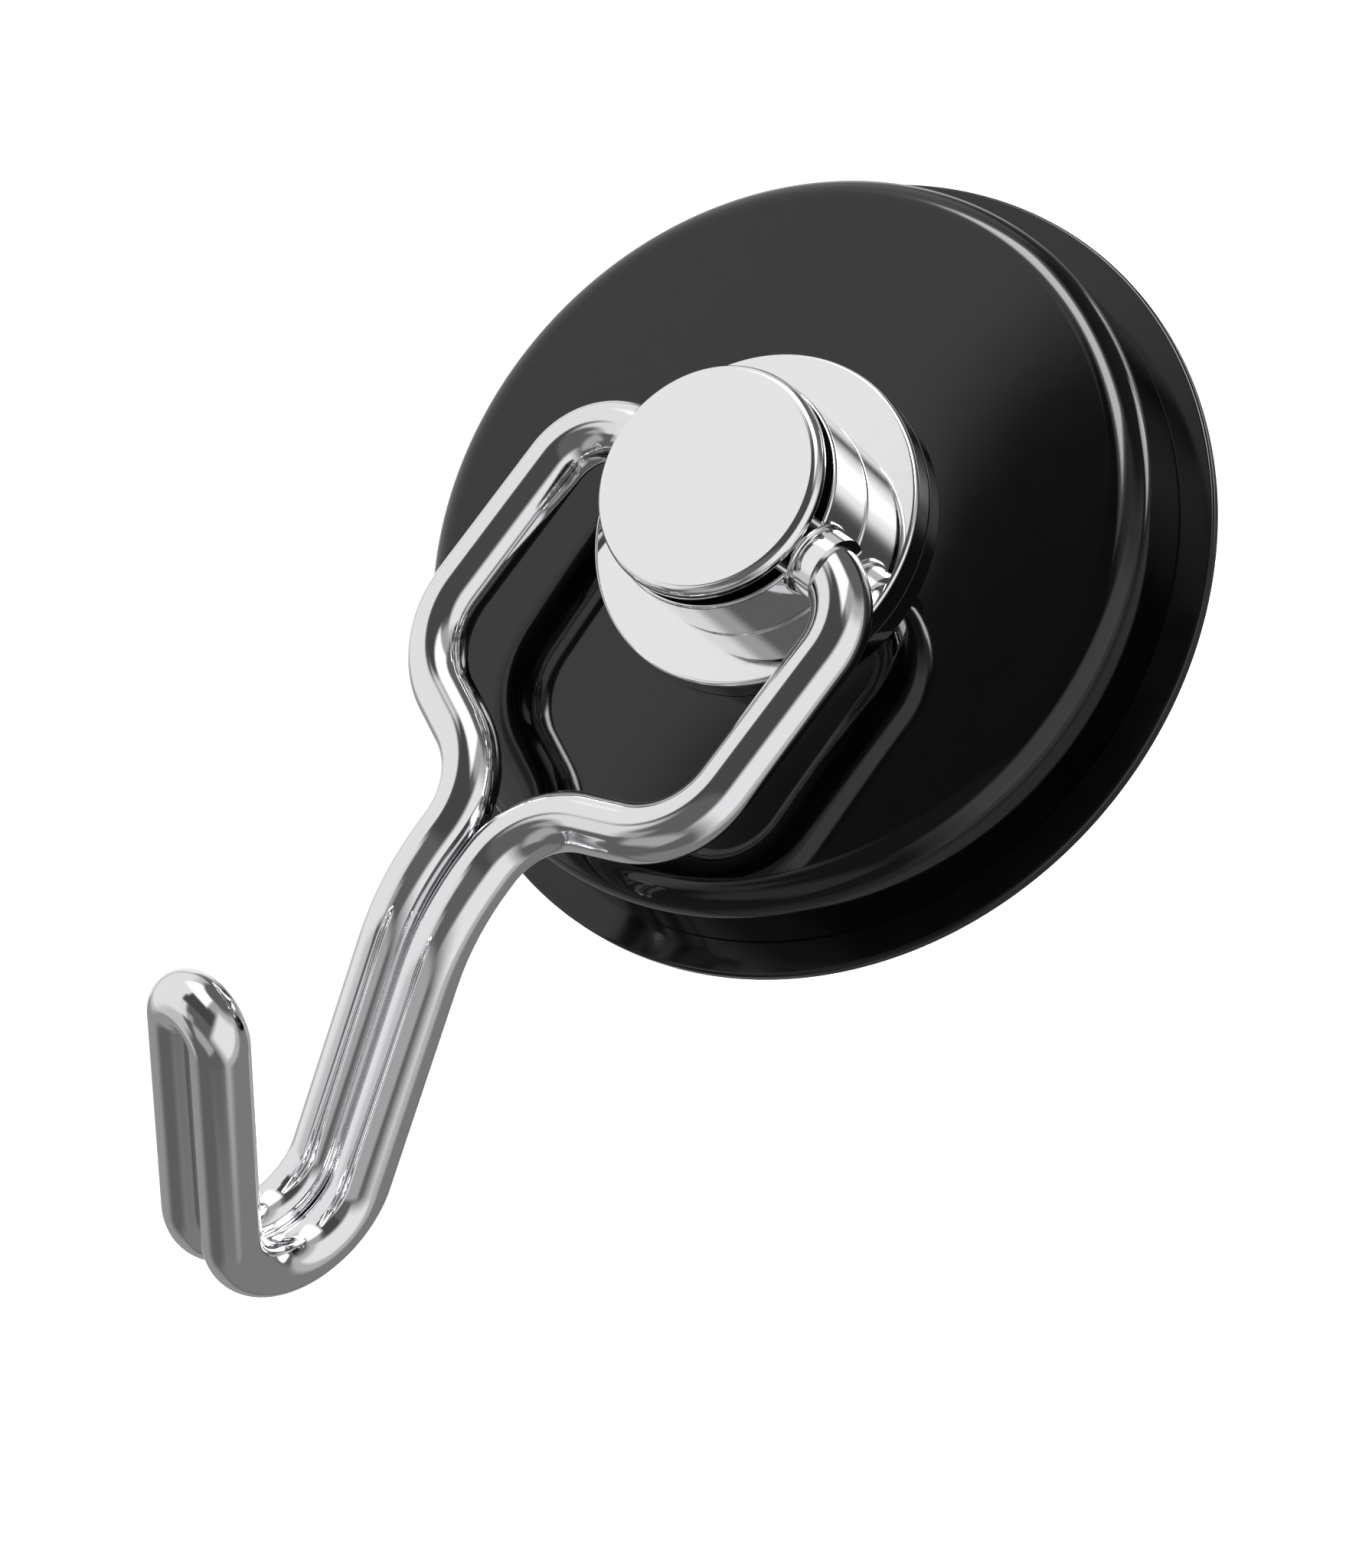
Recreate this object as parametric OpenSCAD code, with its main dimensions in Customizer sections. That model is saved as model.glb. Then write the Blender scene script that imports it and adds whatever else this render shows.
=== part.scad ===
// Swivel hook magnet: a steel pot magnet with a bright swivelling knob and a swinging wire hook.
//
// The magnet is drawn as it hangs on an upright steel surface. The steel lies in the plane Y = 0, the
// knob faces -Y, +Z is up, and the origin is the middle of the face that touches the steel. The hook
// hangs down from the knob. Turned pieces are drawn along their own axis, with their distance from
// the steel as the height, and are then laid over so that this height runs along -Y.

/* [Base] */
// How far the guard disc, which lies against the steel, stands out past the cup
guard_lip = 2; // [0.5:0.1:4]
// Thickness of the guard disc
guard_t = 0.8; // [0.6:0.1:1.5]
// Thickness of the adhesive film between the guard disc and the cup
film_t = 0.1; // [0.05:0.05:0.3]
// How far the film's edge stays inside the cup's edge
film_inset = 0.8; // [0.4:0.1:1.5]

/* [Cup and magnet] */
// Outside diameter of the steel cup
cup_d = 44; // [38:1:56]
// Height of the cup
cup_h = 6.5; // [5.5:0.1:9]
// Radius of the cup's front edge
cup_edge_r = 2.2; // [0.5:0.1:2.4]
// Thickness of the cup's side wall
cup_wall = 2; // [1.2:0.1:3]
// Thickness of the cup's front plate
cup_plate = 2.6; // [1.8:0.1:3]
// Width of the resin ring between the magnet and the cup's wall
resin_w = 1.2; // [0.6:0.1:2]
// Diameter of the hole in the ring magnet
magnet_bore_d = 9.2; // [8.8:0.1:12]
// Wall of the brass sleeve that lines the magnet's hole
sleeve_wall = 0.6; // [0.3:0.1:0.8]
// Thickness of the plug that closes the magnet's hole
plug_t = 1; // [0.6:0.1:1.2]

/* [Swivel] */
// Diameter of the flange under the knob
flange_d = 19.8; // [17:0.2:24]
// Thickness of the flange
flange_t = 1.65; // [1.5:0.05:2.4]
// Radius of the flange's front edge
flange_edge_r = 0.25; // [0.1:0.05:0.5]
// Diameter of the knob's body
knob_d = 13.8; // [13:0.1:17]
// Diameter of the knob's cap
cap_d = 13.6; // [13:0.1:17]
// Thickness of the cap's disc
cap_t = 0.9; // [0.7:0.1:1.5]
// Radius of the cap's front edge
cap_edge_r = 0.55; // [0.2:0.05:0.6]
// Width of the groove between the knob's body and its cap
groove_w = 0.9; // [0.3:0.1:1.2]
// Wall of the collars round the wire's holes
collar_wall = 0.45; // [0.3:0.05:0.8]
// Wall of the cap's spigot
spigot_wall = 0.5; // [0.3:0.1:0.6]

/* [Bearing] */
// Diameter of one ball
ball_d = 0.96; // [0.8:0.02:1]
// Number of balls
ball_count = 12; // [8:1:12]
// Diameter of the circle that the balls run on
ball_pitch_d = 7.4; // [7:0.1:7.8]
// Thickness of each of the two races
race_t = 0.35; // [0.3:0.05:0.5]
// Outside diameter of the races
race_d = 10.3; // [9.8:0.1:10.8]
// Thickness of the ball cage
cage_t = 0.4; // [0.3:0.05:0.5]

/* [Screw] */
// Diameter of the screw where it passes the cup and screws into the flange
screw_d = 4; // [3.6:0.1:4.2]
// Diameter of the smooth journal that the knob turns on
journal_d = 3.2; // [3.1:0.1:3.5]
// Diameter of the threaded end that carries the nut
thread_d = 3; // [2.6:0.1:3]
// Diameter of the screw's head
screw_head_d = 7; // [6.4:0.1:7.2]
// Height of the screw's head
screw_head_h = 1.5; // [1.2:0.1:1.8]
// Width across the flats of the head's hexagon socket
socket_w = 2.5; // [2:0.5:3]
// Thickness of the washer under the screw's head
head_washer_t = 0.4; // [0.3:0.05:0.5]
// Width across the flats of the lock nut
nut_w = 5.5; // [5:0.1:5.6]
// Thickness of the lock nut
nut_t = 1.5; // [1.2:0.1:1.6]
// Thickness of the slip washer on the knob's floor
slip_washer_t = 0.3; // [0.2:0.05:0.4]
// Thickness of the sheet that the dished spring washer is pressed from
dished_t = 0.2; // [0.15:0.05:0.25]
// Height of the dished spring washer
dished_h = 0.36; // [0.3:0.02:0.4]

/* [Wire hook] */
// Diameter of the wire
wire_d = 3.4; // [2.8:0.1:3.4]
// Gap between the two wires where they run side by side
twin_gap = 0.12; // [0.1:0.02:0.4]
// Distance between the middles of the bail's two legs
bail_w = 22; // [21:0.5:28]
// Radius at the middle of the wire where a leg turns down beside the knob
shoulder_r = 4; // [2.5:0.1:4]
// Drop from the pivot to the bail's lower corner
bail_drop = 16.7; // [15:0.5:24]
// Radius at the bail's lower corner
corner_r = 5.7; // [3:0.1:5.7]
// Slope of the wires below the bail's corners, from level
draw_in = 21; // [15:1:35]
// Radius where the two wires come together
neck_r = 5.4; // [3:0.1:5.4]
// Drop from where the wires come together to the heel, where they bend back to the wall
heel_drop = 7.6; // [7.4:0.2:12]
// Radius of the heel
heel_r = 13; // [6:0.5:13]
// Lean of the shank towards the wall, from upright
shank_lean = 30.5; // [15:0.5:30.5]
// Length of the shank from the heel's corner to the hook's bend
shank_len = 17.2; // [14:0.2:30]
// Radius of the hook's bend
hook_r = 4.8; // [3.5:0.1:8]
// Lean of the hook's point away from the wall, from upright
point_lean = 53; // [35:1:60]
// Length of the straight part of the hook's point
point_len = 14.8; // [10:0.2:20]

/* [Fits] */
// Clearance on the radius of the journal and of the washers that turn on it
journal_clearance = 0.05; // [0.02:0.01:0.1]
// Clearance on the radius of the wire's ends in the knob
pivot_clearance = 0.08; // [0.04:0.01:0.1]
// Gap between faces that slide past each other
slide_gap = 0.05; // [0.03:0.01:0.1]
// Clearance on the radius of plain holes and loose pieces
loose_clearance = 0.1; // [0.05:0.05:0.3]
// Gap between a ball and each race
ball_gap = 0.02; // [0.01:0.01:0.05]

/* [Hidden] */
$fn = 96;
wire_fn = 48;
ball_fn = 32;
over = 1; // how far a cut runs past the solid that it goes through
bend_swell = 0.06; // how much thicker a bend is than a straight run, so that they join in a clean step
bend_lap = 0.05; // how far a straight run reaches into a bend
bend_d = wire_d + bend_swell;
broken_r = 0.2; // radius of the knob's edges where they are only broken

// Heights from the steel
film_h = guard_t;
cup_back_h = film_h + film_t;
cup_face_h = cup_back_h + cup_h;
cup_floor_h = cup_face_h - cup_plate;
magnet_t = cup_floor_h - cup_back_h;
head_washer_h = cup_floor_h - head_washer_t;
screw_head_back_h = head_washer_h - screw_head_h;
flange_face_h = cup_face_h + flange_t;
knob_back_h = flange_face_h + slide_gap;

// The bearing is shared between a recess in the flange and one in the knob
bearing_h = 2 * race_t + 2 * ball_gap + ball_d;
flange_recess = 1; // depth of the recess in the flange
flange_floor_h = flange_face_h - flange_recess;
lower_race_face_h = flange_floor_h + race_t;
ball_h = lower_race_face_h + ball_gap + ball_d / 2;
upper_race_h = ball_h + ball_d / 2 + ball_gap;
knob_recess_top_h = flange_floor_h + bearing_h;
race_bore_r = journal_d / 2 + 5 * loose_clearance;
recess_r = race_d / 2 + journal_clearance;

// The knob's floor and what lies on it
hole_floor_t = 0.3; // metal between the bearing's recess and the wire's hole
knob_floor_t = 1; // metal between the bearing's recess and the well for the nut
collar_stand = 0.1; // how far the two collars together stand out past the knob's body
pivot_h = knob_recess_top_h + hole_floor_t + wire_d / 2 + pivot_clearance;
knob_floor_h = knob_recess_top_h + knob_floor_t;
dished_back_h = knob_floor_h + slip_washer_t + slide_gap;
nut_h = dished_back_h + dished_h;
screw_tip_h = nut_h + nut_t + loose_clearance;
bore_r = wire_d / 2 + pivot_clearance;
collar_r = bore_r + collar_wall;
cap_back_h = pivot_h + collar_r + slide_gap;
cap_face_h = cap_back_h + cap_t;
knob_face_h = cap_back_h - groove_w;
nut_r = nut_w / 2 / cos(30);
spigot_r = nut_r + loose_clearance;
well_r = spigot_r + spigot_wall;
wire_end_x = well_r + 2 * loose_clearance;

magnet_r = cup_d / 2 - cup_wall - resin_w;
slip_washer_r = nut_r;
guard_r = cup_d / 2 + guard_lip;

// The hook's corners, as [x, y, z] for the wire on the +X side, from the pivot down
twin_x = (wire_d + twin_gap) / 2;
neck_z = -bail_drop - (bail_w / 2 - twin_x) * tan(draw_in);
heel_z = neck_z - heel_drop;
shank_dir = [0, sin(shank_lean), -cos(shank_lean)];
point_dir = [0, -sin(point_lean), cos(point_lean)];
hook_tangent = hook_r / tan((point_lean - shank_lean) / 2);
heel_point = [twin_x, -pivot_h, heel_z];
hook_corner = heel_point + (shank_len + hook_tangent) * shank_dir;
point_top = hook_corner + (hook_tangent + point_len) * point_dir;
hook_points = [
    [wire_end_x, -pivot_h, 0],
    [bail_w / 2, -pivot_h, 0],
    [bail_w / 2, -pivot_h, -bail_drop],
    [twin_x, -pivot_h, neck_z],
    heel_point,
    hook_corner,
    point_top
];
hook_radii = [0, shoulder_r, corner_r, neck_r, heel_r, hook_r, 0];

// ---- Shared shapes ----

// Lays a turned piece over, so that its height runs away from the steel along -Y
module off_wall() {
    rotate([90, 0, 0]) children();
}

// A turned ring or disc from height h0 to h1, with rounded outer edges at its front and back
module turned(r, h0, h1, bore_r = 0, front_r = 0, back_r = 0) {
    rotate_extrude() {
        translate([bore_r, h0 + back_r]) square([r - bore_r, h1 - h0 - front_r - back_r]);
        if (front_r > 0) {
            translate([bore_r, h1 - front_r]) square([r - front_r - bore_r, front_r]);
            intersection() {
                translate([r - front_r, h1 - front_r]) circle(front_r);
                translate([r - front_r, h1 - front_r]) square(front_r);
            }
        }
        if (back_r > 0) {
            translate([bore_r, h0]) square([r - back_r - bore_r, back_r]);
            intersection() {
                translate([r - back_r, h0 + back_r]) circle(back_r);
                translate([r - back_r, h0]) square(back_r);
            }
        }
    }
}

// A plain cylinder from height h0 to h1
module round_bar(r, h0, h1) {
    translate([0, 0, h0]) cylinder(r = r, h = h1 - h0);
}

// A hexagonal bar from height h0 to h1, w across its flats
module hexagon(w, h0, h1) {
    translate([0, 0, h0]) cylinder(r = w / 2 / cos(30), h = h1 - h0, $fn = 6);
}

// ---- Wire bending ----

function unit(v) = v / norm(v);

// Half of the turn from the run before a corner to the run after it
function half_turn(a, b, c) = (180 - acos(unit(a - b) * unit(c - b))) / 2;

// How much of each run a bend of radius r takes up at corner b
function take_up(a, b, c, r) = r * tan(half_turn(a, b, c));

// How much of the runs beside corner i of a path its bend takes up
function corner_use(pts, radii, i) =
    i == 0 || i == len(pts) - 1 ? 0 : take_up(pts[i - 1], pts[i], pts[i + 1], radii[i]);

// Stands a shape that is drawn along +Z at point p, along direction along, with its +X on side
module stand(p, side, ahead, along) {
    multmatrix([
        [side.x, ahead.x, along.x, p.x],
        [side.y, ahead.y, along.y, p.y],
        [side.z, ahead.z, along.z, p.z],
        [0, 0, 0, 1]
    ]) children();
}

// A straight run of wire from a to b
module straight_wire(a, b) {
    along = unit(b - a);
    other = abs(along.x) < 0.9 ? [1, 0, 0] : [0, 0, 1];
    side = unit(cross(other, along));
    stand(a, side, cross(along, side), along) cylinder(d = wire_d, h = norm(b - a), $fn = wire_fn);
}

// A bend of radius r in the wire at corner b, between the runs from a and to c
module bent_wire(a, b, c, r) {
    ahead = unit(b - a);
    axis = unit(cross(ahead, c - b));
    side = cross(ahead, axis);
    start = b - ahead * take_up(a, b, c, r);
    stand(start - r * side, side, ahead, axis)
        rotate_extrude(angle = 2 * half_turn(a, b, c)) translate([r, 0]) circle(d = bend_d, $fn = wire_fn);
}

// A wire along a path of corners, with a bend of its own radius at each
module wire_path(pts, radii) {
    for (i = [0 : len(pts) - 2]) {
        ahead = unit(pts[i + 1] - pts[i]);
        straight_wire(
            pts[i] + ahead * (corner_use(pts, radii, i) - bend_lap),
            pts[i + 1] - ahead * (corner_use(pts, radii, i + 1) - bend_lap)
        );
    }
    for (i = [1 : len(pts) - 2]) bent_wire(pts[i - 1], pts[i], pts[i + 1], radii[i]);
}

// ---- Base ----

// Thin moulded disc that keeps the cup off the steel, a little wider than the cup
module guard_disc() {
    color("#101112") off_wall() turned(guard_r, 0, guard_t, front_r = guard_t / 4, back_r = guard_t / 4);
}

// Double-sided film that holds the guard disc on the cup
module adhesive_film() {
    color("#3a3a38") off_wall() turned(cup_d / 2 - film_inset, film_h, cup_back_h);
}

// Pressed steel cup, closed at the front, open to the steel
module pot_cup() {
    color("#17181a") off_wall() difference() {
        turned(cup_d / 2, cup_back_h, cup_face_h, front_r = cup_edge_r);
        round_bar(cup_d / 2 - cup_wall, cup_back_h - over, cup_floor_h);
        round_bar(screw_d / 2 + loose_clearance, cup_floor_h - over, cup_face_h + over);
    }
}

// Flat ring magnet that fills the cup
module ring_magnet() {
    color("#b9bbbd") off_wall() turned(magnet_r, cup_back_h, cup_floor_h, bore_r = magnet_bore_d / 2);
}

// Cast resin between the magnet and the cup's wall
module resin_ring() {
    color("#26282a") off_wall() turned(magnet_r + resin_w, cup_back_h, cup_floor_h, bore_r = magnet_r);
}

// Brass sleeve that keeps the screw's head off the brittle magnet
module magnet_sleeve() {
    sleeve_r = magnet_bore_d / 2;
    color("#b08d4c") off_wall() turned(sleeve_r, cup_back_h + plug_t, cup_floor_h, bore_r = sleeve_r - sleeve_wall);
}

// Plug that closes the magnet's hole
module bore_plug() {
    color("#1c1d1f") off_wall() turned(magnet_bore_d / 2, cup_back_h, cup_back_h + plug_t);
}

// ---- Screw and nut ----

// Shoulder screw: head in the magnet's hole, thread in the flange, journal in the knob, thread for the nut
module pivot_screw() {
    color("#8f9193") off_wall() difference() {
        union() {
            round_bar(screw_head_d / 2, screw_head_back_h, head_washer_h);
            round_bar(screw_d / 2, head_washer_h, flange_floor_h);
            round_bar(journal_d / 2, flange_floor_h, nut_h);
            round_bar(thread_d / 2, nut_h, screw_tip_h);
        }
        hexagon(socket_w, screw_head_back_h - over, screw_head_back_h + screw_head_h * 2 / 3);
    }
}

// Washer between the screw's head and the cup
module head_washer() {
    color("#9a9c9e") off_wall()
        turned(screw_head_d / 2 + loose_clearance, head_washer_h, cup_floor_h, bore_r = screw_d / 2 + loose_clearance);
}

// Lock nut on the screw's front end
module lock_nut() {
    color("#8f9193") off_wall() difference() {
        hexagon(nut_w, nut_h, nut_h + nut_t);
        round_bar(thread_d / 2, nut_h - over, nut_h + nut_t + over);
    }
}

// Dished spring washer under the nut, which takes up the play
module dished_washer() {
    bore_r = journal_d / 2 + journal_clearance;
    color("#77797b") off_wall() rotate_extrude() polygon([
        [bore_r, nut_h - dished_t],
        [slip_washer_r, dished_back_h],
        [slip_washer_r, dished_back_h + dished_t],
        [bore_r, nut_h]
    ]);
}

// Slip washer that turns with the knob
module slip_washer() {
    color("#d9d4c4") off_wall()
        turned(slip_washer_r, knob_floor_h, knob_floor_h + slip_washer_t, bore_r = journal_d / 2 + journal_clearance);
}

// ---- Swivel ----

// Bright flange on the front of the cup, with a recess for the bearing
module swivel_flange() {
    color("#d8dadc") off_wall() difference() {
        turned(flange_d / 2, cup_face_h, flange_face_h, front_r = flange_edge_r);
        round_bar(screw_d / 2, cup_face_h - over, flange_face_h);
        round_bar(recess_r, flange_floor_h, flange_face_h + over);
    }
}

// Hardened race in the flange
module lower_race() {
    color("#a4a6a8") off_wall() turned(race_d / 2, flange_floor_h, lower_race_face_h, bore_r = race_bore_r);
}

// Hardened race in the knob
module upper_race() {
    color("#a4a6a8") off_wall() turned(race_d / 2, upper_race_h, knob_recess_top_h, bore_r = race_bore_r);
}

// Places its children at each ball of the bearing
module at_each_ball() {
    for (i = [0 : ball_count - 1])
        rotate([0, 0, i * 360 / ball_count]) translate([ball_pitch_d / 2, 0, ball_h]) children();
}

// Loose steel balls
module bearing_balls() {
    color("#c8cacc") off_wall() at_each_ball() sphere(d = ball_d, $fn = ball_fn);
}

// Flat cage that keeps the balls apart
module ball_cage() {
    inner_r = race_bore_r + 2 * loose_clearance;
    outer_r = race_d / 2 - 2 * loose_clearance;
    color("#b9964f") off_wall() difference() {
        turned(outer_r, ball_h - cage_t / 2, ball_h + cage_t / 2, bore_r = inner_r);
        at_each_ball() cylinder(d = ball_d + 2 * journal_clearance, h = 2 * cage_t, center = true, $fn = ball_fn);
    }
}

// A bar of radius r across the knob, along the wire's two ends
module cross_bar(r, length) {
    translate([0, 0, pivot_h]) rotate([0, 90, 0]) cylinder(r = r, h = length, center = true);
}

// Bright body of the knob: bearing recess behind, well for the nut in front, cross hole for the wire with a
// collar round it at each side
module knob_body() {
    color("#d8dadc") off_wall() difference() {
        union() {
            turned(knob_d / 2, knob_back_h, knob_face_h, front_r = broken_r, back_r = broken_r);
            cross_bar(collar_r, knob_d + collar_stand);
        }
        round_bar(recess_r, knob_back_h - over, knob_recess_top_h);
        round_bar(journal_d / 2 + journal_clearance, knob_recess_top_h - over, knob_floor_h + over);
        round_bar(well_r, knob_floor_h, cap_face_h + over);
        cross_bar(bore_r, knob_d + collar_stand + 2 * over);
    }
}

// Bright cap that closes the knob, held by a spigot pressed into the body's well around the nut
module knob_cap() {
    color("#e2e4e6") off_wall() {
        turned(cap_d / 2, cap_back_h, cap_face_h, front_r = cap_edge_r, back_r = broken_r);
        turned(well_r, nut_h, cap_back_h, bore_r = spigot_r);
    }
}

// ---- Hook ----

// One length of round wire, doubled back on itself at the point, with its two ends in the knob
module wire_hook() {
    color("#cfd1d3") {
        for (side = [0, 1]) mirror([side, 0, 0]) wire_path(hook_points, hook_radii);
        stand([0, point_top.y, point_top.z], [1, 0, 0], point_dir, cross([1, 0, 0], point_dir))
            rotate_extrude(angle = 180) translate([twin_x, 0]) circle(d = bend_d, $fn = wire_fn);
    }
}

guard_disc();
adhesive_film();
pot_cup();
ring_magnet();
resin_ring();
magnet_sleeve();
bore_plug();
pivot_screw();
head_washer();
swivel_flange();
lower_race();
bearing_balls();
ball_cage();
upper_race();
knob_body();
slip_washer();
dished_washer();
lock_nut();
knob_cap();
wire_hook();
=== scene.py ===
import bpy
import bmesh
import math
from mathutils import Matrix, Vector


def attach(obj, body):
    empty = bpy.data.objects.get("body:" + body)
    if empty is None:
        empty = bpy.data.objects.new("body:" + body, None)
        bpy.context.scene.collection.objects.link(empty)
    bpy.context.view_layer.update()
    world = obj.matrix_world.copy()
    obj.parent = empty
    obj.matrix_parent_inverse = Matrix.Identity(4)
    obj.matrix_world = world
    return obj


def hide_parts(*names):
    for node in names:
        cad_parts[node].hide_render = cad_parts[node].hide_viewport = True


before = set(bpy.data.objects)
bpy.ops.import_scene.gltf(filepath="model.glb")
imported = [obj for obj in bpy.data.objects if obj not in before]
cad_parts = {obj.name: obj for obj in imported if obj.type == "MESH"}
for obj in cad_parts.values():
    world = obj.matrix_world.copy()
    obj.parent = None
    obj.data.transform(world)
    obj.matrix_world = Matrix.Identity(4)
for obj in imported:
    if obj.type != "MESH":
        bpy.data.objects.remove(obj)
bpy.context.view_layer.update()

# ---- Camera ----
# A long lens a little right of the knob's front and level with it, rolled so that the hook trails off to
# the lower left as it would from a tilted panel.
MM = 0.001
VIEW_AZIMUTH = math.radians(32.89)
VIEW_ELEVATION = math.radians(0.22)
VIEW_ROLL = math.radians(37.01)
VIEW_DISTANCE = 303.5 * MM
VIEW_TARGET = Vector((1.16, 0, -14.02)) * MM
SENSOR_MM = 36
LENS_MM = 123.05
NEAR_CLIP = 10 * MM
FAR_CLIP = 10000 * MM

outward = Vector((
    math.sin(VIEW_AZIMUTH) * math.cos(VIEW_ELEVATION),
    -math.cos(VIEW_AZIMUTH) * math.cos(VIEW_ELEVATION),
    math.sin(VIEW_ELEVATION),
))
level_right = Vector((math.cos(VIEW_AZIMUTH), math.sin(VIEW_AZIMUTH), 0))
level_up = outward.cross(level_right)
view_right = math.cos(VIEW_ROLL) * level_right + math.sin(VIEW_ROLL) * level_up
view_up = outward.cross(view_right)

camera = bpy.data.objects.new("camera", bpy.data.cameras.new("camera"))
camera.data.sensor_width = SENSOR_MM
camera.data.lens = LENS_MM
camera.data.clip_start = NEAR_CLIP
camera.data.clip_end = FAR_CLIP
camera.matrix_world = Matrix.Translation(VIEW_TARGET + VIEW_DISTANCE * outward) @ Matrix((
    view_right, view_up, outward
)).transposed().to_4x4()
bpy.context.scene.collection.objects.link(camera)
bpy.context.scene.camera = camera


# ---- Guard disc ----
# Thin injection-moulded disc at the back, a little wider than the cup, that keeps the steel cup off the
# surface it grips. It is glossy black ABS, stuck to the cup with a film of adhesive.
TURN_STEPS = 256
EDGE_SEGMENTS = 8
# Narrow rings of faces beside each rounded edge keep the flats next to it flat.
HOLD_WIDTH = 0.02 * MM
ON_CIRCLE = HOLD_WIDTH / 4
MERGE_DIST = HOLD_WIDTH / 20


def on_axis(radius, height):
    """A point of a turned outline: its distance from the axis, and from the steel."""
    return Vector((radius, -height, 0))


def turned_piece(name, corners, closed):
    """Spins an outline about the magnet's axis. A corner is (radius, height, edge radius), in millimetres."""
    bm = bmesh.new()
    points = []
    count = len(corners)
    for i, (radius, height, edge) in enumerate(corners):
        here = on_axis(radius, height) * MM
        before = on_axis(*corners[i - 1][:2]) * MM
        after = on_axis(*corners[(i + 1) % count][:2]) * MM
        hold = edge * MM + HOLD_WIDTH
        if edge > 0:
            points.append(here + (before - here).normalized() * hold)
        points.append(here)
        if edge > 0:
            points.append(here + (after - here).normalized() * hold)
    outline = [bm.verts.new(point) for point in points]
    for a, b in zip(outline, outline[1:]):
        bm.edges.new((a, b))
    if closed:
        bm.edges.new((outline[-1], outline[0]))
    bmesh.ops.spin(
        bm, geom=bm.verts[:] + bm.edges[:], cent=(0, 0, 0), axis=(0, 1, 0), angle=math.tau,
        steps=TURN_STEPS, use_merge=True
    )
    bmesh.ops.remove_doubles(bm, verts=bm.verts[:], dist=MERGE_DIST)
    for radius, height, edge in corners:
        if edge > 0:
            round_circle(bm, radius, height, edge)
    bmesh.ops.recalc_face_normals(bm, faces=bm.faces[:])
    return finished(name, bm)


def round_circle(bm, radius, height, edge):
    """Rounds the circular edge at a radius and height of a turned piece."""
    def on_circle(vert):
        around = math.hypot(vert.co.x, vert.co.z)
        return abs(around - radius * MM) < ON_CIRCLE and abs(vert.co.y + height * MM) < ON_CIRCLE

    rim = [e for e in bm.edges if on_circle(e.verts[0]) and on_circle(e.verts[1])]
    bmesh.ops.bevel(
        bm, geom=rim, offset=edge * MM, offset_type="OFFSET", affect="EDGES",
        segments=EDGE_SEGMENTS, profile=0.5, material=-1, clamp_overlap=True
    )


def finished(name, bm):
    """Makes a smooth-shaded object of a mesh."""
    mesh = bpy.data.meshes.new(name)
    bm.to_mesh(mesh)
    bm.free()
    mesh.shade_smooth()
    piece = bpy.data.objects.new(name, mesh)
    bpy.context.scene.collection.objects.link(piece)
    return piece


def linear(hex_colour):
    """The linear colour of an sRGB hex value."""
    channels = [int(hex_colour[i:i + 2], 16) / 255 for i in (1, 3, 5)]
    return [c / 12.92 if c <= 0.04045 else ((c + 0.055) / 1.055) ** 2.4 for c in channels] + [1]


def add_node(owner, kind, inputs=None, **settings):
    """Adds a node with its settings. An input is given a value, or an output that is linked to it."""
    node = owner.node_tree.nodes.new(kind)
    for key, value in settings.items():
        setattr(node, key, value)
    for key, value in (inputs or {}).items():
        if isinstance(value, bpy.types.NodeSocket):
            owner.node_tree.links.new(value, node.inputs[key])
        else:
            node.inputs[key].default_value = value
    return node


def new_material(name, colour, metallic, roughness, ior=1.5):
    """A material with its principled shader's plain values."""
    material = bpy.data.materials.new(name)
    material.use_nodes = True
    shader = material.node_tree.nodes["Principled BSDF"]
    shader.inputs["Base Color"].default_value = linear(colour)
    shader.inputs["Metallic"].default_value = metallic
    shader.inputs["Roughness"].default_value = roughness
    if not metallic:
        shader.inputs["IOR"].default_value = ior
    return material


# Most of a noise or a wave lies between these two of its values.
PATTERN_LOW = 0.3
PATTERN_HIGH = 0.7


def textured(material, pattern, rough, bump_mm, colours=None):
    """Lets a pattern from 0 to 1 vary a material's roughness, lift it by bump_mm, and mix two colours."""
    shader = material.node_tree.nodes["Principled BSDF"]
    links = material.node_tree.links
    spread = add_node(material, "ShaderNodeMapRange", {
        "Value": pattern, "From Min": PATTERN_LOW, "From Max": PATTERN_HIGH,
        "To Min": rough[0], "To Max": rough[1],
    })
    links.new(spread.outputs["Result"], shader.inputs["Roughness"])
    bump = add_node(material, "ShaderNodeBump", {"Height": pattern, "Strength": 1, "Distance": bump_mm * MM})
    links.new(bump.outputs["Normal"], shader.inputs["Normal"])
    if colours:
        ramp = add_node(material, "ShaderNodeValToRGB", {"Fac": pattern})
        for stop, place, colour in zip(ramp.color_ramp.elements, (PATTERN_LOW, PATTERN_HIGH), colours):
            stop.position = place
            stop.color = linear(colour)
        links.new(ramp.outputs["Color"], shader.inputs["Base Color"])


def grain(material, size_mm, stretch=(1, 1, 1), detail=3):
    """A noise with patches of the given size in millimetres, stretched along the axes."""
    place = add_node(material, "ShaderNodeTexCoord")
    mapping = add_node(material, "ShaderNodeMapping", {"Vector": place.outputs["Object"], "Scale": stretch})
    noise = add_node(material, "ShaderNodeTexNoise", {
        "Vector": mapping.outputs["Vector"], "Scale": 1 / (size_mm * MM), "Detail": detail,
    })
    return noise.outputs["Fac"]


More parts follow.
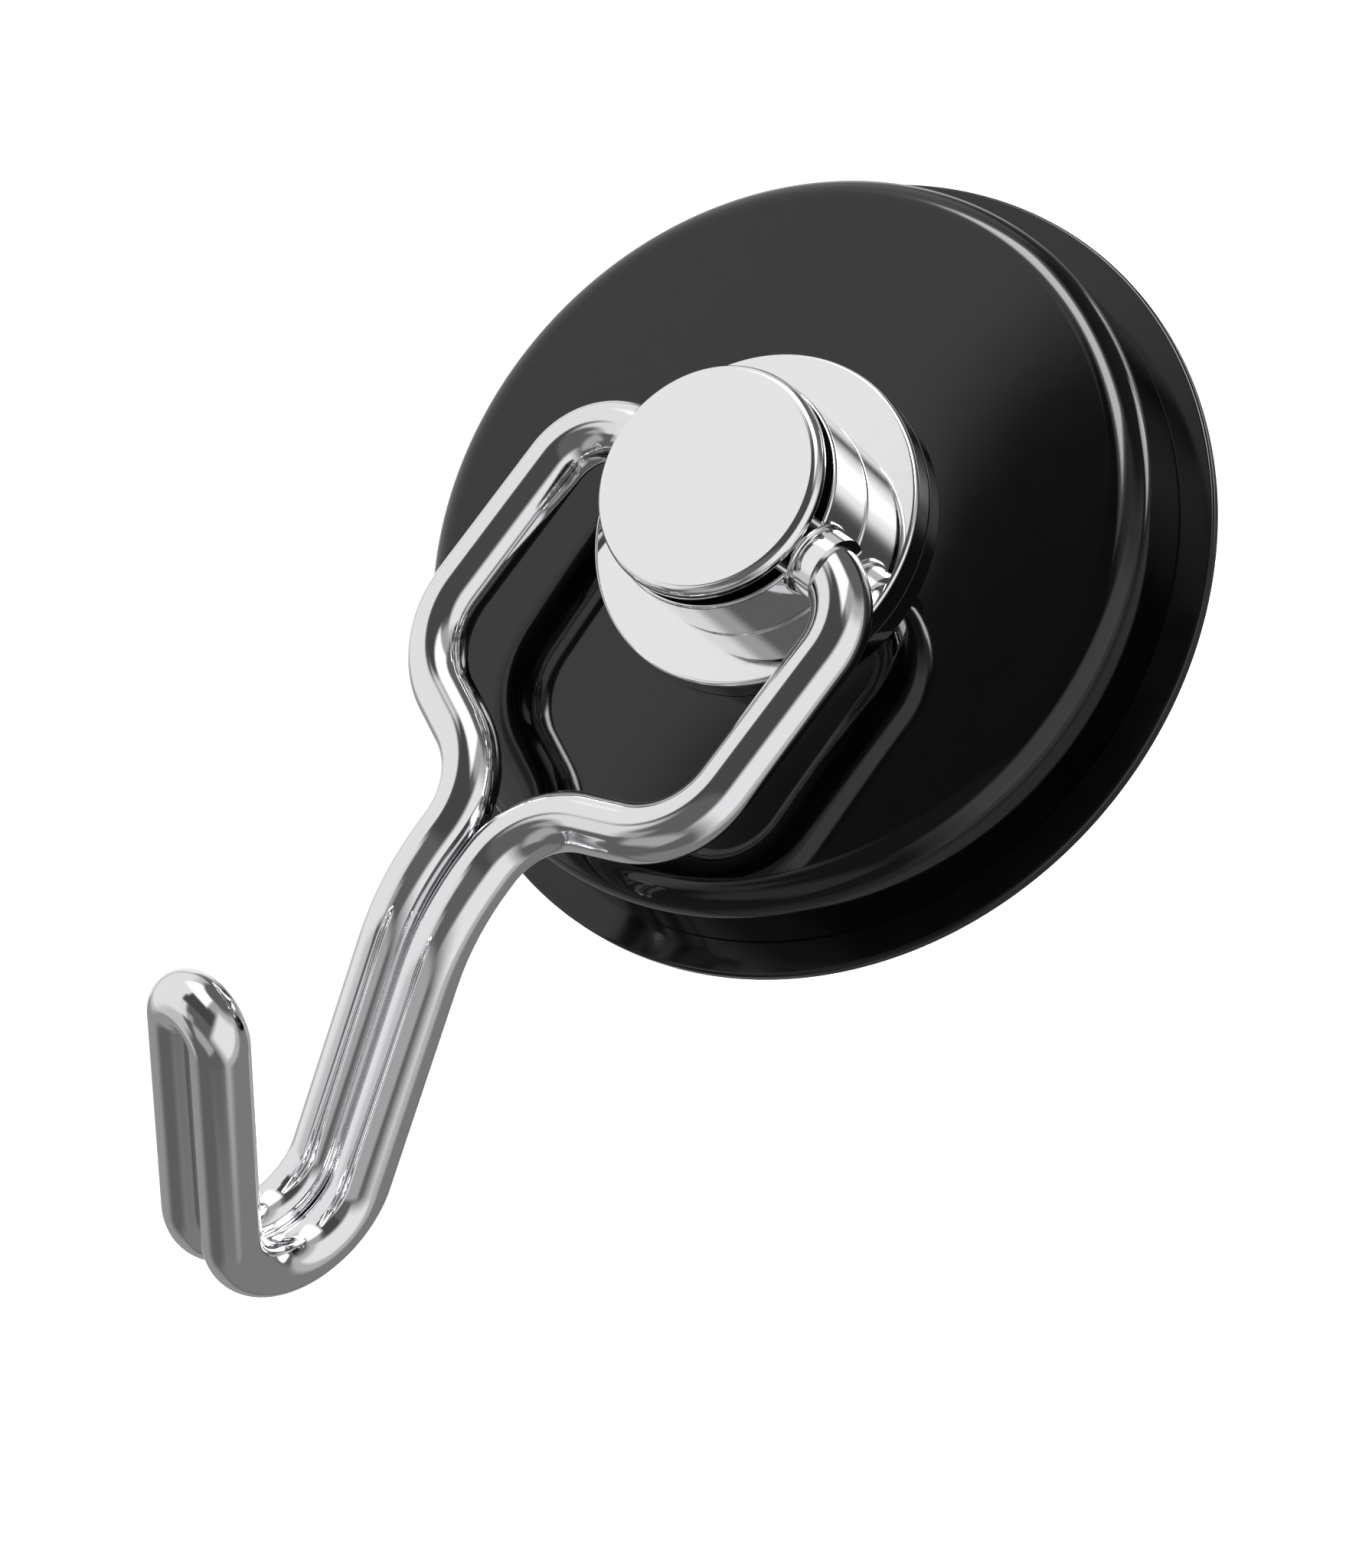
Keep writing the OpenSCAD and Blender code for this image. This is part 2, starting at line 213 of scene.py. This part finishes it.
# Moulded ABS takes the polish of its mould, so it shines, faintly wavy where it shrank as it cooled.
gloss_abs = new_material("moulded_gloss_abs", "#0e0e0f", metallic=0, roughness=0.1, ior=1.54)
textured(
    gloss_abs, grain(gloss_abs, size_mm=3),
    rough=(0.08, 0.13), bump_mm=0.0012, colours=("#0b0b0c", "#131314")
)

GUARD_R = 24
GUARD_T = 0.8
GUARD_EDGE = 0.2
guard = turned_piece("guard_disc_moulding", [
    (0, 0, 0), (GUARD_R, 0, GUARD_EDGE), (GUARD_R, GUARD_T, GUARD_EDGE), (0, GUARD_T, 0),
], closed=False)
guard.data.materials.append(gloss_abs)
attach(guard, "magnet_base")
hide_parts("guard_disc")


# ---- Adhesive film ----
# Thin double-sided acrylic film that holds the guard disc on the cup. It is punched a little smaller than
# the cup, which leaves a thin dark line between the two.
FILM_T = 0.1


def finish_node(name, material):
    """Gives a node that keeps its own shape its material."""
    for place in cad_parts[name].material_slots:
        place.material = material


# Foamed acrylic is dull and slightly pitted where it was punched.
acrylic_film = new_material("punched_acrylic_film", "#3c3c39", metallic=0, roughness=0.75)
textured(
    acrylic_film, grain(acrylic_film, size_mm=0.4),
    rough=(0.65, 0.85), bump_mm=0.01, colours=("#343431", "#464642")
)
finish_node("adhesive_film", acrylic_film)

# ---- Pot cup ----
# Low-carbon steel cup, drawn in a press so that its front edge is well rounded, and coated in gloss black
# epoxy by electrophoresis. It is open behind, where the magnet sits.
GUARD_LIP = 2
CUP_H = 6.5
CUP_WALL = 2
CUP_PLATE = 2.6
CUP_EDGE = 2.2
SMALL_EDGE = 0.1
SCREW_R = 2
SCREW_CLEARANCE = 0.1
SCREW_HOLE_R = SCREW_R + SCREW_CLEARANCE
CUP_R = GUARD_R - GUARD_LIP
CUP_INNER_R = CUP_R - CUP_WALL
CUP_BACK = GUARD_T + FILM_T
CUP_FACE = CUP_BACK + CUP_H
CUP_FLOOR = CUP_FACE - CUP_PLATE
# The press leaves the cup's face slightly crowned. These are radii on it, and its fall at each.
CROWN = [(9, 0), (12, 0.05), (16, 0.22)]
CROWN_FALL = 0.5

# Baked epoxy flows out to a near mirror, with a trace of orange peel.
gloss_epoxy = new_material("baked_gloss_epoxy_coat", "#030304", metallic=0, roughness=0.05, ior=1.56)
textured(
    gloss_epoxy, grain(gloss_epoxy, size_mm=1.6),
    rough=(0.035, 0.06), bump_mm=0.0005, colours=("#020203", "#050506")
)

crown = [(radius, CUP_FACE - fall, 0) for radius, fall in CROWN]
cup = turned_piece("pot_cup_coated", [
    (SCREW_HOLE_R, CUP_FACE, SMALL_EDGE), *crown,
    (CUP_R, CUP_FACE - CROWN_FALL, CUP_EDGE - CROWN_FALL), (CUP_R, CUP_BACK, SMALL_EDGE),
    (CUP_INNER_R, CUP_BACK, SMALL_EDGE), (CUP_INNER_R, CUP_FLOOR, SMALL_EDGE),
    (SCREW_HOLE_R, CUP_FLOOR, SMALL_EDGE),
], closed=True)
cup.data.materials.append(gloss_epoxy)
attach(cup, "magnet_base")
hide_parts("pot_cup")


# ---- Magnet and its fittings ----
# Ring of sintered neodymium that fills the cup, with resin cast round it, a brass sleeve that keeps the
# screw's head off its brittle bore, and a resin plug that closes the bore behind.
def lathe_lines(material, pitch_mm):
    """Rings round the magnet's axis, as a lathe's tool leaves them, with the given pitch in millimetres."""
    ring_period = math.tau / 20  # the distance between rings at a scale of 1
    place = add_node(material, "ShaderNodeTexCoord")
    wave = add_node(material, "ShaderNodeTexWave", {
        "Vector": place.outputs["Object"], "Scale": ring_period / (pitch_mm * MM),
        "Distortion": 0.6, "Detail": 2,
    }, wave_type="RINGS", rings_direction="Y")
    return wave.outputs["Fac"]


# Nickel plating follows the sintered grain beneath it, so it has a satin sparkle.
nickel_plate = new_material("nickel_plated_sintered_magnet", "#b8b4aa", metallic=1, roughness=0.3)
textured(
    nickel_plate, grain(nickel_plate, size_mm=0.15),
    rough=(0.24, 0.38), bump_mm=0.003, colours=("#aca89e", "#c4c1b9")
)
finish_node("ring_magnet", nickel_plate)

# Filled resin sets dull, with shallow sinks where it shrank.
potting_resin = new_material("cast_potting_resin", "#1c1d1f", metallic=0, roughness=0.45)
textured(
    potting_resin, grain(potting_resin, size_mm=0.8),
    rough=(0.35, 0.55), bump_mm=0.015, colours=("#161719", "#242527")
)
finish_node("resin_ring", potting_resin)
finish_node("bore_plug", potting_resin)

# Brass cut from bar keeps the tool's fine rings.
turned_brass = new_material("turned_brass", "#c9a55f", metallic=1, roughness=0.25)
textured(
    turned_brass, lathe_lines(turned_brass, pitch_mm=0.12),
    rough=(0.2, 0.3), bump_mm=0.003, colours=("#c09a52", "#d2b06c")
)
finish_node("magnet_sleeve", turned_brass)

# ---- Screw, washers and nut ----
# Shoulder screw of cold-headed steel: its head sits in the magnet's bore on a washer, and its journal
# carries the knob, held by a slip washer, a dished spring washer and a lock nut. All but the slip washer
# are zinc plated.

# Barrel plating leaves zinc a soft bluish grey with cloudy patches.
barrel_zinc = new_material("barrel_plated_zinc", "#b3b8be", metallic=1, roughness=0.32)
textured(
    barrel_zinc, grain(barrel_zinc, size_mm=0.5),
    rough=(0.26, 0.4), bump_mm=0.004, colours=("#a6acb3", "#c0c4c8")
)
for name in ("pivot_screw", "head_washer", "dished_washer", "lock_nut"):
    finish_node(name, barrel_zinc)

# Natural nylon is a milky off-white, faintly streaked by the flow in its mould.
moulded_nylon = new_material("moulded_natural_nylon", "#e4dfd0", metallic=0, roughness=0.42, ior=1.53)
textured(
    moulded_nylon, grain(moulded_nylon, size_mm=0.6, stretch=(1, 1, 0.4)),
    rough=(0.36, 0.48), bump_mm=0.003, colours=("#ded8c7", "#eae6da")
)
finish_node("slip_washer", moulded_nylon)

# ---- Flange ----
# Steel flange turned on a lathe and chrome plated, screwed down on the cup. A recess in its face holds
# the bearing's lower race.
FLANGE_R = 9.9
FLANGE_T = 1.65
FLANGE_EDGE = 0.25
FINE_EDGE = 0.05
RECESS_R = 5.2
RECESS_DEPTH = 1
FLANGE_FACE = CUP_FACE + FLANGE_T
FLANGE_FLOOR = FLANGE_FACE - RECESS_DEPTH

# Chrome over nickel on a polished turning: a cool white mirror with the last of the polishing left in it.
chrome = new_material("polished_chrome_plate", "#f1f1f2", metallic=1, roughness=0.05)
textured(chrome, grain(chrome, size_mm=0.9), rough=(0.035, 0.07), bump_mm=0.0003)

flange = turned_piece("swivel_flange_plated", [
    (RECESS_R, FLANGE_FACE, SMALL_EDGE), (FLANGE_R, FLANGE_FACE, FLANGE_EDGE),
    (FLANGE_R, CUP_FACE, SMALL_EDGE), (SCREW_R, CUP_FACE, SMALL_EDGE), (SCREW_R, FLANGE_FLOOR, FINE_EDGE),
    (RECESS_R, FLANGE_FLOOR, FINE_EDGE),
], closed=True)
flange.data.materials.append(chrome)
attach(flange, "magnet_base")
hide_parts("swivel_flange")

# ---- Bearing ----
# Two hardened races, one in the flange and one in the knob, with a ring of loose steel balls between them
# in a flat brass cage.
BEARING_H = 1.7

# Ground and lapped bearing steel is a dark mirror with hair-fine rings.
lapped_steel = new_material("lapped_bearing_steel", "#c3c4c8", metallic=1, roughness=0.12)
textured(lapped_steel, lathe_lines(lapped_steel, pitch_mm=0.06), rough=(0.09, 0.15), bump_mm=0.0005)
for name in ("lower_race", "upper_race", "bearing_balls"):
    finish_node(name, lapped_steel)

# Cage blanks are punched from rolled sheet, which keeps the rolls' straight streaks.
rolled_brass = new_material("rolled_brass_sheet", "#bf9b58", metallic=1, roughness=0.3)
textured(
    rolled_brass, grain(rolled_brass, size_mm=0.12, stretch=(0.08, 1, 1)),
    rough=(0.24, 0.36), bump_mm=0.002, colours=("#b48f4b", "#cba866")
)
finish_node("ball_cage", rolled_brass)

# ---- Knob ----
# Body of the knob, turned and plated like the flange, with a well for the nut. A collar stands out round
# each of the two holes that take the wire's ends.
KNOB_R = 6.9
KNOB_EDGE = 0.2
KNOB_FLOOR_T = 1
WELL_R = 3.775
JOURNAL_BORE_R = 1.65
SLIDE_GAP = 0.05
GROOVE_W = 0.9
WIRE_D = 3.4
WIRE_CLEARANCE = 0.08
HOLE_FLOOR_T = 0.3
COLLAR_WALL = 0.45
COLLAR_STAND = 0.05
COLLAR_EDGE = 0.15
KNOB_BACK = FLANGE_FACE + SLIDE_GAP
KNOB_RECESS_TOP = FLANGE_FLOOR + BEARING_H
KNOB_FLOOR = KNOB_RECESS_TOP + KNOB_FLOOR_T
BORE_R = WIRE_D / 2 + WIRE_CLEARANCE
PIVOT = KNOB_RECESS_TOP + HOLE_FLOOR_T + BORE_R
COLLAR_R = BORE_R + COLLAR_WALL
CAP_BACK = PIVOT + COLLAR_R + SLIDE_GAP
KNOB_FACE = CAP_BACK - GROOVE_W
# A collar runs out from inside the knob's wall. The seat for it is cut right through the wall.
COLLAR_START_X = 3.9
COLLAR_END_X = KNOB_R + COLLAR_STAND
SEAT_R = BORE_R + COLLAR_WALL / 2
SEAT_START_X = 3.02
SEAT_END_X = 8.28
QUARTER_TURN = math.radians(90)
CREASE = math.radians(40)


def combined(piece, other, operation):
    """Joins a second solid to a piece, or cuts it out of it. The second one goes."""
    change = piece.modifiers.new("change", "BOOLEAN")
    change.object = other
    change.operation = operation
    change.solver = "EXACT"
    bpy.context.view_layer.update()
    result = bpy.data.meshes.new_from_object(piece.evaluated_get(bpy.context.evaluated_depsgraph_get()))
    piece.modifiers.clear()
    piece.data = result
    bpy.data.objects.remove(other)


knob = turned_piece("knob_body_plated", [
    (WELL_R, KNOB_FACE, SMALL_EDGE), (KNOB_R, KNOB_FACE, KNOB_EDGE), (KNOB_R, KNOB_BACK, KNOB_EDGE),
    (RECESS_R, KNOB_BACK, SMALL_EDGE), (RECESS_R, KNOB_RECESS_TOP, FINE_EDGE),
    (JOURNAL_BORE_R, KNOB_RECESS_TOP, FINE_EDGE), (JOURNAL_BORE_R, KNOB_FLOOR, FINE_EDGE),
    (WELL_R, KNOB_FLOOR, FINE_EDGE),
], closed=True)
for side in (-1, 1):
    to_side = Matrix.Translation(on_axis(0, PIVOT) * MM) @ Matrix.Rotation(side * QUARTER_TURN, 4, "Z")
    seat = turned_piece("collar_seat", [
        (0, SEAT_START_X, 0), (SEAT_R, SEAT_START_X, 0), (SEAT_R, SEAT_END_X, 0), (0, SEAT_END_X, 0),
    ], closed=False)
    seat.data.transform(to_side)
    combined(knob, seat, "DIFFERENCE")
    collar = turned_piece("collar", [
        (BORE_R, COLLAR_START_X, 0), (COLLAR_R, COLLAR_START_X, 0),
        (COLLAR_R, COLLAR_END_X, COLLAR_EDGE), (BORE_R, COLLAR_END_X, COLLAR_EDGE),
    ], closed=True)
    collar.data.transform(to_side)
    combined(knob, collar, "UNION")
knob.data.shade_smooth()
knob.data.set_sharp_from_angle(angle=CREASE)

# Painted shade: the faces lining the groove between body and cap get near-black dull steel in place of the
# shade there.
groove_painted_shade = new_material("groove_painted_shade_steel", "#16161a", metallic=1, roughness=0.4)
textured(
    groove_painted_shade, lathe_lines(groove_painted_shade, pitch_mm=0.1),
    rough=(0.35, 0.5), bump_mm=0.003, colours=("#101013", "#1e1e22")
)
SAME_HEIGHT = HOLD_WIDTH / 2
NEARLY_SQUARE = 0.99


def plate_with_painted_groove_shade(piece, height, way):
    """Plates a piece, but gives its flat faces at a height that look along way, 1 towards the steel, the
    painted groove shade.
    """
    piece.data.materials.append(chrome)
    piece.data.materials.append(groove_painted_shade)
    for face in piece.data.polygons:
        if abs(face.center.y + height * MM) < SAME_HEIGHT and face.normal.y * way > NEARLY_SQUARE:
            face.material_index = 1


# The knob's face inside the groove gets the painted groove shade.
plate_with_painted_groove_shade(knob, KNOB_FACE, -1)
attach(knob, "knob")
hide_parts("knob_body")

# ---- Cap ----
# Turned and plated cap that closes the knob. Its spigot is pressed into the body's well, and a groove is
# left between the two.
CAP_R = 6.8
CAP_T = 0.9
CAP_EDGE = 0.55
CAP_BACK_EDGE = 0.2
SPIGOT_WALL = 0.5
SLIP_WASHER_T = 0.3
DISHED_WASHER_H = 0.36
CAP_FACE = CAP_BACK + CAP_T
SPIGOT_R = WELL_R - SPIGOT_WALL
SPIGOT_BACK = KNOB_FLOOR + SLIP_WASHER_T + SLIDE_GAP + DISHED_WASHER_H
cap = turned_piece("knob_cap_plated", [
    (0, CAP_FACE, 0), (CAP_R, CAP_FACE, CAP_EDGE), (CAP_R, CAP_BACK, CAP_BACK_EDGE),
    (WELL_R, CAP_BACK, FINE_EDGE), (WELL_R, SPIGOT_BACK, FINE_EDGE), (SPIGOT_R, SPIGOT_BACK, FINE_EDGE),
    (SPIGOT_R, CAP_BACK, 0), (0, CAP_BACK, 0),
], closed=False)
# The cap's back face inside the groove gets the painted groove shade as well.
plate_with_painted_groove_shade(cap, CAP_BACK, 1)
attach(cap, "knob")
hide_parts("knob_cap")

# ---- Wire hook ----
# One length of hard-drawn steel wire, bent on formers, doubled back on itself at the point and chrome
# plated. Its two ends are sprung into the knob's cross hole.
WIRE_SIDES = 48
BEND_STEP = math.radians(4)
FEWEST_BEND_STEPS = 3
TWIN_GAP = 0.12
WIRE_END_GAP = 0.2
BAIL_X = 11
BAIL_DROP = 16.7
DRAW_IN = math.radians(21)
HEEL_DROP = 7.6
SHANK_LEAN = math.radians(30.5)
SHANK_LEN = 17.2
POINT_LEAN = math.radians(53)
POINT_LEN = 14.8
SHOULDER_R = 4
CORNER_R = 5.7
NECK_R = 5.4
HEEL_R = 13
HOOK_R = 4.8
DIE_LINE_WIDTH = 0.25

TWIN_X = (WIRE_D + TWIN_GAP) / 2
WIRE_END_X = WELL_R + WIRE_END_GAP
neck_z = -BAIL_DROP - (BAIL_X - TWIN_X) * math.tan(DRAW_IN)
heel = Vector((TWIN_X, -PIVOT, neck_z - HEEL_DROP))
shank_way = Vector((0, math.sin(SHANK_LEAN), -math.cos(SHANK_LEAN)))
point_way = Vector((0, -math.sin(POINT_LEAN), math.cos(POINT_LEAN)))
hook_tangent = HOOK_R / math.tan((POINT_LEAN - SHANK_LEAN) / 2)
hook_corner = heel + (SHANK_LEN + hook_tangent) * shank_way
point_top = hook_corner + (hook_tangent + POINT_LEN) * point_way
wire_corners = [
    (Vector((WIRE_END_X, -PIVOT, 0)), 0),
    (Vector((BAIL_X, -PIVOT, 0)), SHOULDER_R),
    (Vector((BAIL_X, -PIVOT, -BAIL_DROP)), CORNER_R),
    (Vector((TWIN_X, -PIVOT, neck_z)), NECK_R),
    (heel, HEEL_R),
    (hook_corner, HOOK_R),
    (point_top, 0),
]


def carry_straight(bm, ring, shift):
    """Draws the wire on in a straight line, and returns its new end."""
    drawn = bmesh.ops.extrude_edge_only(bm, edges=ring)
    verts = [item for item in drawn["geom"] if isinstance(item, bmesh.types.BMVert)]
    bmesh.ops.translate(bm, verts=verts, vec=shift)
    return [item for item in drawn["geom"] if isinstance(item, bmesh.types.BMEdge) and item.is_boundary]


def carry_round(bm, ring, centre, axis, angle):
    """Bends the wire's end round a centre, and returns its new end."""
    drawn = bmesh.ops.spin(
        bm, geom=ring, cent=centre, axis=axis, angle=angle,
        steps=max(FEWEST_BEND_STEPS, round(angle / BEND_STEP)), use_merge=False, use_normal_flip=False
    )
    return [item for item in drawn["geom_last"] if isinstance(item, bmesh.types.BMEdge)]


bm = bmesh.new()
start = Matrix.Translation(wire_corners[0][0] * MM) @ Matrix.Rotation(QUARTER_TURN, 4, "Y")
bmesh.ops.create_circle(bm, cap_ends=True, segments=WIRE_SIDES, radius=WIRE_D / 2 * MM, matrix=start)
draw_line = bm.verts.layers.float_vector.new("draw_line")
for vert in bm.verts:
    vert[draw_line] = vert.co - wire_corners[0][0] * MM
ring = bm.edges[:]
end = wire_corners[0][0]
for (before, _), (corner, radius), (after, _) in zip(wire_corners, wire_corners[1:], wire_corners[2:]):
    ahead = (corner - before).normalized()
    onward = (after - corner).normalized()
    turn = ahead.angle(onward)
    take_up = radius * math.tan(turn / 2)
    axis = ahead.cross(onward).normalized()
    ring = carry_straight(bm, ring, (corner - ahead * take_up - end) * MM)
    centre = corner - ahead * take_up + axis.cross(ahead) * radius
    ring = carry_round(bm, ring, centre * MM, axis, turn)
    end = corner + onward * take_up
ring = carry_straight(bm, ring, (point_top - end) * MM)
tip_axis = point_way.cross(Vector((-1, 0, 0)))
ring = carry_round(bm, ring, Vector((0, point_top.y, point_top.z)) * MM, tip_axis, QUARTER_TURN)
bmesh.ops.mirror(bm, geom=bm.verts[:] + bm.edges[:] + bm.faces[:], axis="X", merge_dist=MERGE_DIST)
bmesh.ops.remove_doubles(bm, verts=bm.verts[:], dist=MERGE_DIST)
bmesh.ops.recalc_face_normals(bm, faces=bm.faces[:])
hook = finished("wire_hook_plated", bm)

# Plated wire is a shade greyer than the turnings and keeps the die's fine lines along its length.
plated_wire = new_material("chrome_plated_drawn_wire", "#ebebed", metallic=1, roughness=0.06)
line_place = add_node(plated_wire, "ShaderNodeAttribute", attribute_name="draw_line")
die_lines = add_node(plated_wire, "ShaderNodeTexNoise", {
    "Vector": line_place.outputs["Vector"], "Scale": 1 / (DIE_LINE_WIDTH * MM), "Detail": 2,
})
textured(plated_wire, die_lines.outputs["Fac"], rough=(0.045, 0.08), bump_mm=0.0004)
hook.data.materials.append(plated_wire)
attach(hook, "hook")
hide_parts("wire_hook")

# ---- Floor and backdrop ----
# A plain white floor well below the hanging magnet, in a wide white sweep. Both are left out of the
# bright pieces' mirror images and cast nothing on them.
FLOOR_Z = -120
SWEEP_R = 3000
SWEEP_SEGMENTS = 48
studio_white = new_material("studio_white", "#ffffff", metallic=0, roughness=0.9)
white_shader = studio_white.node_tree.nodes["Principled BSDF"]
white_shader.inputs["Emission Color"].default_value = linear("#ffffff")
white_shader.inputs["Emission Strength"].default_value = 1.0

floor_mesh = bmesh.new()
bmesh.ops.create_grid(
    floor_mesh, x_segments=1, y_segments=1, size=SWEEP_R * MM, matrix=Matrix.Translation((0, 0, FLOOR_Z * MM))
)
sweep_mesh = bmesh.new()
bmesh.ops.create_uvsphere(
    sweep_mesh, u_segments=SWEEP_SEGMENTS, v_segments=SWEEP_SEGMENTS // 2, radius=SWEEP_R * MM
)
for name, shape in (("floor", floor_mesh), ("backdrop", sweep_mesh)):
    backing = finished(name, shape)
    backing.data.materials.append(studio_white)
    backing.visible_diffuse = False
    backing.visible_glossy = False
    backing.visible_transmission = False
    backing.visible_shadow = False

# ---- Light ----
# Soft studio light from large white panels round the magnet, with dark gaps between them that draw the
# edges of the bright pieces. Each is a soft-edged patch of the sky, where azimuth 0 is the knob's side
# and +90 is +X. A later panel stands in front of those before it.
ROOM_GREY = 0.13
PANELS = {
    # azimuth low, high, softness; elevation low, high, softness; brightness
    "black cloth in front": ((-28, 43, 4), (-5, 27, 3), 0.07),
    "grey sheet behind left": ((-174, -108, 8), (-62, 42, 10), 0.32),
    "panel behind left": ((-142, -108, 6), (-17, 34, 5), 0.95),
    "grey sheet behind right": ((120, 181, 6), (-70, 38, 8), 0.22),
    "high back lamp, right half": ((148, 181, 5), (44, 64, 4), 4.0),
    "high back lamp, left half": ((-181, -150, 5), (44, 60, 4), 2.0),
    "card high in front": ((14, 47, 4), (35, 64, 5), 0.42),
    "card low in front": ((-6, 66, 7), (-66, -42, 6), 0.42),
    "pale sheet on the left": ((-112, -33, 5), (-66, 62, 6), 0.6),
    "small card low in front": ((-25, -2, 5), (-42, -27, 4), 0.4),
    "low left panel": ((-60, -18, 5), (-44, -8, 4), 0.82),
    "main left panel": ((-104, -31.3, 2.2), (-44, 48, 8), 0.88),
    "upper left panel": ((-60, -26, 4), (13, 34, 4), 0.88),
    "overhead lamp's cover": ((-66, 17, 5), (29, 63, 4), 1.1),
    "overhead lamp": ((-56, 8, 5), (36, 56, 4), 9.0),
    "pale sheet on the right": ((44, 128, 6), (-35, 60, 8), 0.5),
    "right panel": ((49, 110, 5), (-24, 44, 8), 0.9),
}

studio = bpy.data.worlds.new("studio")
bpy.context.scene.world = studio
studio.use_nodes = True
sky = add_node(studio, "ShaderNodeTexCoord")
parts = add_node(studio, "ShaderNodeSeparateXYZ", {"Vector": sky.outputs["Generated"]})
forward = add_node(studio, "ShaderNodeMath", {0: parts.outputs["Y"], 1: -1.0}, operation="MULTIPLY")
azimuth = add_node(
    studio, "ShaderNodeMath", {0: parts.outputs["X"], 1: forward.outputs[0]}, operation="ARCTAN2"
)
elevation = add_node(studio, "ShaderNodeMath", {0: parts.outputs["Z"]}, operation="ARCSINE")


def inside(angle, low, high, softness):
    """1 where an angle is between two limits in degrees, fading to 0 within softness of each."""
    half = math.radians(high - low) / 2
    soft = math.radians(softness)
    away = add_node(studio, "ShaderNodeMath", {0: angle, 1: math.radians(low) + half}, operation="SUBTRACT")
    size = add_node(studio, "ShaderNodeMath", {0: away.outputs[0]}, operation="ABSOLUTE")
    fade = add_node(studio, "ShaderNodeMapRange", {
        "Value": size.outputs[0], "From Min": half - soft, "From Max": half + soft,
        "To Min": 1.0, "To Max": 0.0,
    }, interpolation_type="SMOOTHSTEP")
    return fade.outputs["Result"]


light = ROOM_GREY
for name, (across, up, brightness) in PANELS.items():
    patch = add_node(studio, "ShaderNodeMath", {
        0: inside(azimuth.outputs[0], *across), 1: inside(elevation.outputs[0], *up),
    }, operation="MULTIPLY")
    panel = add_node(studio, "ShaderNodeMapRange", {
        "Value": patch.outputs[0], "From Min": 0.0, "From Max": 1.0, "To Min": light, "To Max": brightness,
    }, label=name)
    light = panel.outputs["Result"]
studio.node_tree.links.new(light, studio.node_tree.nodes["Background"].inputs["Color"])
studio.node_tree.nodes["Background"].inputs["Strength"].default_value = 1.0
bpy.context.scene.view_settings.view_transform = "Standard"
